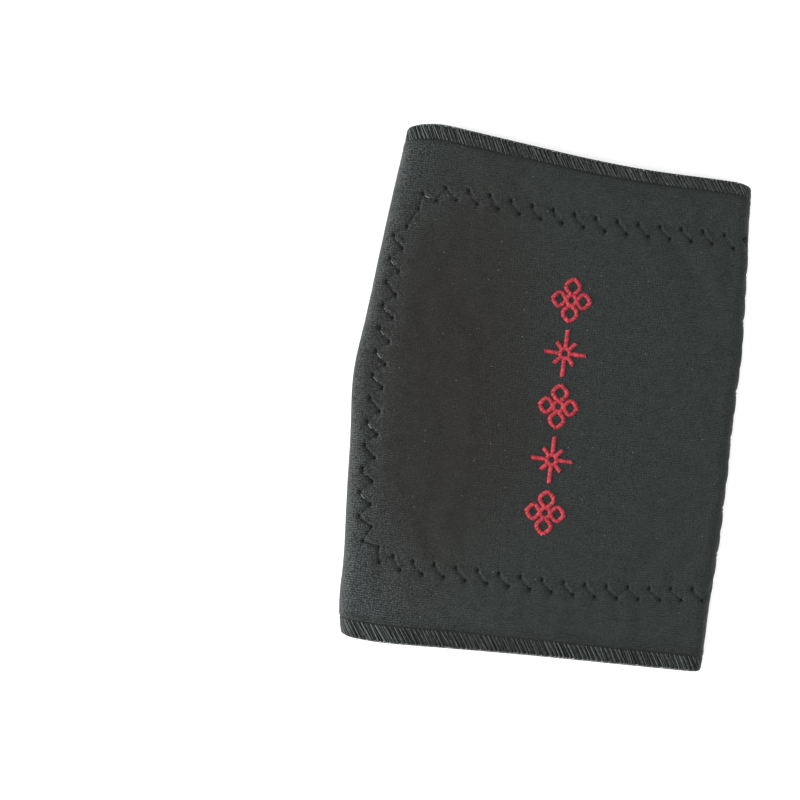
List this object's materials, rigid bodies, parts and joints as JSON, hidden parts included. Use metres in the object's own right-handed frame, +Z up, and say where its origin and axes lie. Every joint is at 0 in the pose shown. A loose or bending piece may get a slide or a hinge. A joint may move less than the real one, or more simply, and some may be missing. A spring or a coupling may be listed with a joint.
{
  "type": "elbow sleeve brace",
  "caption": "Flat-lying padded knit elbow sleeve, open at both ends, with overlocked mouths, a zigzag-stitched patch line and raised red embroidery.",
  "frame": {"origin": "middle of the underside, on the surface that the sleeve lies on", "axes": "+X across the sleeve to the right seen from the front, +Y along it towards the upper mouth, +Z up out of the surface"},
  "size_m": [0.1772, 0.2395, 0.0151],
  "materials": {
    "padded_knit": "matt fine knit over foam, slightly fuzzy",
    "overlock_thread": "fine polyester thread, soft sheen",
    "embroidery_thread": "glossy red satin stitch"
  },
  "bodies": {
    "root": {"sleeve": "padded_knit", "upper_overlock": "overlock_thread", "lower_overlock": "overlock_thread", "motif_1": "embroidery_thread", "motif_2": "embroidery_thread", "motif_3": "embroidery_thread", "motif_4": "embroidery_thread", "motif_5": "embroidery_thread"}
  },
  "joints": []
}
